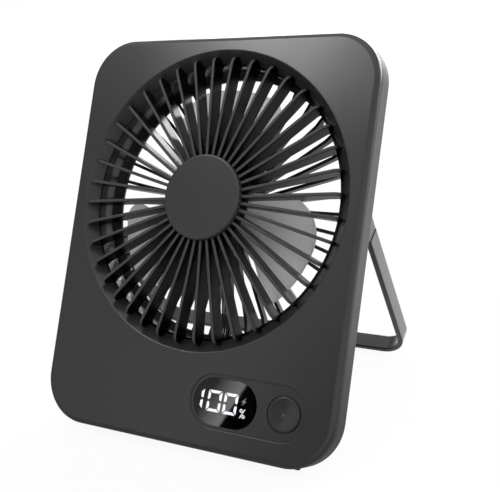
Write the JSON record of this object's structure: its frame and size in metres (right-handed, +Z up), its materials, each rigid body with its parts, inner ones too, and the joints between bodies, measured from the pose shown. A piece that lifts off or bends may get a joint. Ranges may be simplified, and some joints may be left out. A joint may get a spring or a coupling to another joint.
{
  "type": "usb desk fan",
  "caption": "Slim rechargeable desk fan with a ribbed round grille, digit display and power button, leaning on a folding U-shaped strap.",
  "frame": {"origin": "middle of the footprint, on the surface that the fan stands on", "axes": "+X to the fan's left-to-right as seen from the front, +Y towards the back, +Z up; the fan blows towards -Y and up"},
  "size_m": [0.138, 0.1066, 0.1451],
  "materials": {
    "case_plastic": "fine satin, injection moulded",
    "grille_plastic": "satin black, injection moulded",
    "blade_plastic": "satin light grey, injection moulded",
    "strap_plastic": "satin, glass-filled",
    "window_lens": "glossy, smoked acrylic",
    "display_black": "matt black with white digits",
    "button_plastic": "fine satin",
    "foot_rubber": "matt",
    "steel": "zinc plated",
    "motor_steel": "nickel plated",
    "lamination_steel": "stacked sheet steel",
    "magnet_ferrite": "bonded ferrite, matt",
    "motor_alloy": "as cast",
    "bush_bronze": "sintered, oiled",
    "copper": "enamelled winding wire",
    "circuit_board": "solder mask",
    "chip_plastic": "epoxy moulding",
    "plug_plastic": "natural nylon",
    "usb_steel": "tin plated",
    "battery_wrap": "foil pouch",
    "foam": "closed-cell foam tape",
    "lead_insulation": "black PVC",
    "washer_nylon": "nylon"
  },
  "bodies": {
    "case": {"front_cover": "case_plastic", "front_grille": "grille_plastic", "grille_cap": "case_plastic", "rear_cover": "case_plastic", "rear_grille": "grille_plastic", "motor_base": "motor_alloy", "front_bush": "bush_bronze", "rear_bush": "bush_bronze", "stator_core": "lamination_steel", "stator_coils": "copper", "motor_board": "circuit_board", "motor_screws": "steel", "motor_leads": "lead_insulation", "hinge_pin_left": "steel", "hinge_pin_right": "steel", "hinge_washer_left": "washer_nylon", "hinge_washer_right": "washer_nylon", "foot_left": "foot_rubber", "foot_right": "foot_rubber", "display_window": "window_lens", "window_tape": "foam", "display_module": "display_black", "tact_switch": "chip_plastic", "main_board": "circuit_board", "board_screws": "steel", "board_chips": "chip_plastic", "board_inductor": "chip_plastic", "motor_plug": "plug_plastic", "battery_plug": "plug_plastic", "usb_socket": "usb_steel", "usb_tongue": "chip_plastic", "battery_cell": "battery_wrap", "battery_pad": "foam", "battery_leads": "lead_insulation", "case_screws": "steel"},
    "rotor": {"impeller": "blade_plastic", "rotor_can": "motor_steel", "rotor_magnet": "magnet_ferrite", "motor_shaft": "steel", "shaft_clip": "steel"},
    "stand": {"stand": "strap_plastic"},
    "button": {"power_button": "button_plastic"},
    "plunger": {"switch_plunger": "plug_plastic"}
  },
  "joints": [
    {"name": "fan_spin", "type": "hinge", "parent": "case", "child": "rotor", "pos_m": [0, 0.003, 0.08919], "axis": [0, -0.8238, 0.5669], "continuous": true},
    {"name": "stand_fold", "type": "hinge", "parent": "case", "child": "stand", "pos_m": [0, 0.00967, 0.0846], "axis": [1, 0, 0], "range_deg": [-56.2, 33.8]},
    {"name": "button_press", "type": "slide", "parent": "case", "child": "button", "axis": [0, 0.8238, -0.5669], "range_m": [0, 0.0004], "stiffness_N_per_m": 1000, "springref_m": -0.0001},
    {"name": "plunger_press", "type": "slide", "parent": "case", "child": "plunger", "axis": [0, 0.8238, -0.5669], "range_m": [0, 0.0004]}
  ],
  "couplings": [
    {"joint": "plunger_press", "follows": "button_press", "ratio": 1}
  ]
}
